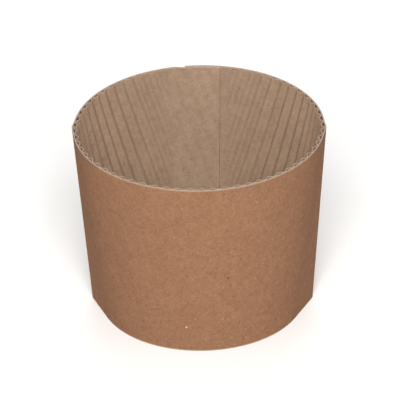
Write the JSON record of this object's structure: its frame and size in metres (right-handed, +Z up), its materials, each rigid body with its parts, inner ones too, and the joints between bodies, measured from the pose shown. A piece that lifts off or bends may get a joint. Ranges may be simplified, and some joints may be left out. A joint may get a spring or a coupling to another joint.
{
  "type": "coffee cup sleeve",
  "caption": "Tapered coffee cup sleeve of single-face corrugated kraft board: smooth outside, fluted inside, side creases and a glued lap at the back.",
  "frame": {"origin": "centre of the narrow bottom rim, on the surface that the sleeve stands on", "axes": "+Z up towards the wide top rim, -Y to the front as the picture shows it, the side creases on X and the glued lap on +Y"},
  "size_m": [0.0834, 0.0824, 0.0654],
  "materials": {
    "kraft_board": "matt uncoated kraft board"
  },
  "bodies": {
    "root": {"sleeve": "kraft_board"}
  },
  "joints": []
}
